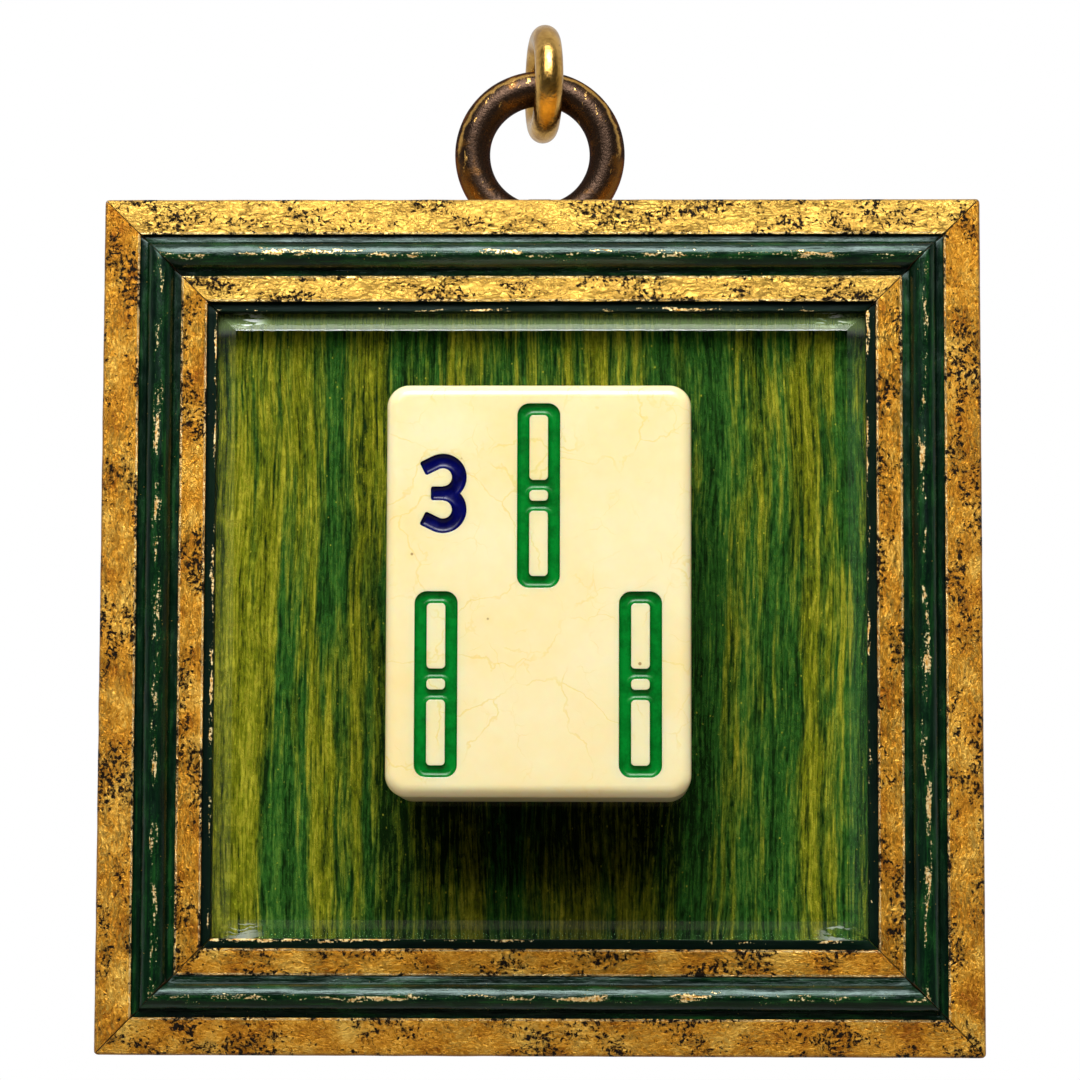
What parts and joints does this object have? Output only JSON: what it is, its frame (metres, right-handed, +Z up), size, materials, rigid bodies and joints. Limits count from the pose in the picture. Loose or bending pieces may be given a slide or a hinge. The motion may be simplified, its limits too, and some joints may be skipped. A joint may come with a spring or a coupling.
{
  "type": "framed mahjong tile ornament",
  "caption": "Hanging ornament: a cream mahjong tile bonded to a bevelled pane over a green wood panel, in a gilded and green mitred frame with a swinging ring and link.",
  "frame": {"origin": "middle of the bottom rail's underside, on which the ornament stands", "axes": "+X to the viewer's right, +Y from the front to the back, +Z up"},
  "size_m": [0.066, 0.0322, 0.0812],
  "materials": {
    "gilded_moulding": "gold leaf over a dark ground with a dark green lacquered bead, worn through in specks",
    "nail_steel": "zinc-plated sheet steel",
    "pane_glass": "clear polished glass with ground bevel",
    "stained_wood": "green stain over upright grain",
    "board_wood": "bare hardboard",
    "cream_resin": "old polished cast resin with fine crazing",
    "clear_bond": "clear cured adhesive",
    "green_enamel": "glossy green enamel paint",
    "blue_enamel": "glossy blue enamel paint",
    "aged_brass": "aged sheet brass",
    "dark_bronze": "dark brown patina, rubbed golden on the rim",
    "polished_brass": "polished brass with light tarnish"
  },
  "bodies": {
    "frame": {"top_rail": "gilded_moulding", "bottom_rail": "gilded_moulding", "left_rail": "gilded_moulding", "right_rail": "gilded_moulding", "corner_nails": "nail_steel", "bevelled_glass": "pane_glass", "green_panel": "stained_wood", "backing_board": "board_wood", "glazing_points": "nail_steel", "tile_body": "cream_resin", "tile_adhesive": "clear_bond", "upper_stick_enamel": "green_enamel", "left_stick_enamel": "green_enamel", "right_stick_enamel": "green_enamel", "numeral_enamel": "blue_enamel", "hanger_strap": "aged_brass", "hanger_screw": "aged_brass"},
    "ring": {"hanging_ring": "dark_bronze"},
    "link": {"hanging_link": "polished_brass"}
  },
  "joints": [
    {"name": "ring_swing", "type": "hinge", "parent": "frame", "child": "ring", "pos_m": [-0.0005, 0.00974, 0.0654], "axis": [1, 0, 0], "range_deg": [-150, 60]},
    {"name": "link_swing", "type": "hinge", "parent": "ring", "child": "link", "pos_m": [-0.0005, 0.00974, 0.07606], "axis": [1, 0, 0], "continuous": true}
  ]
}
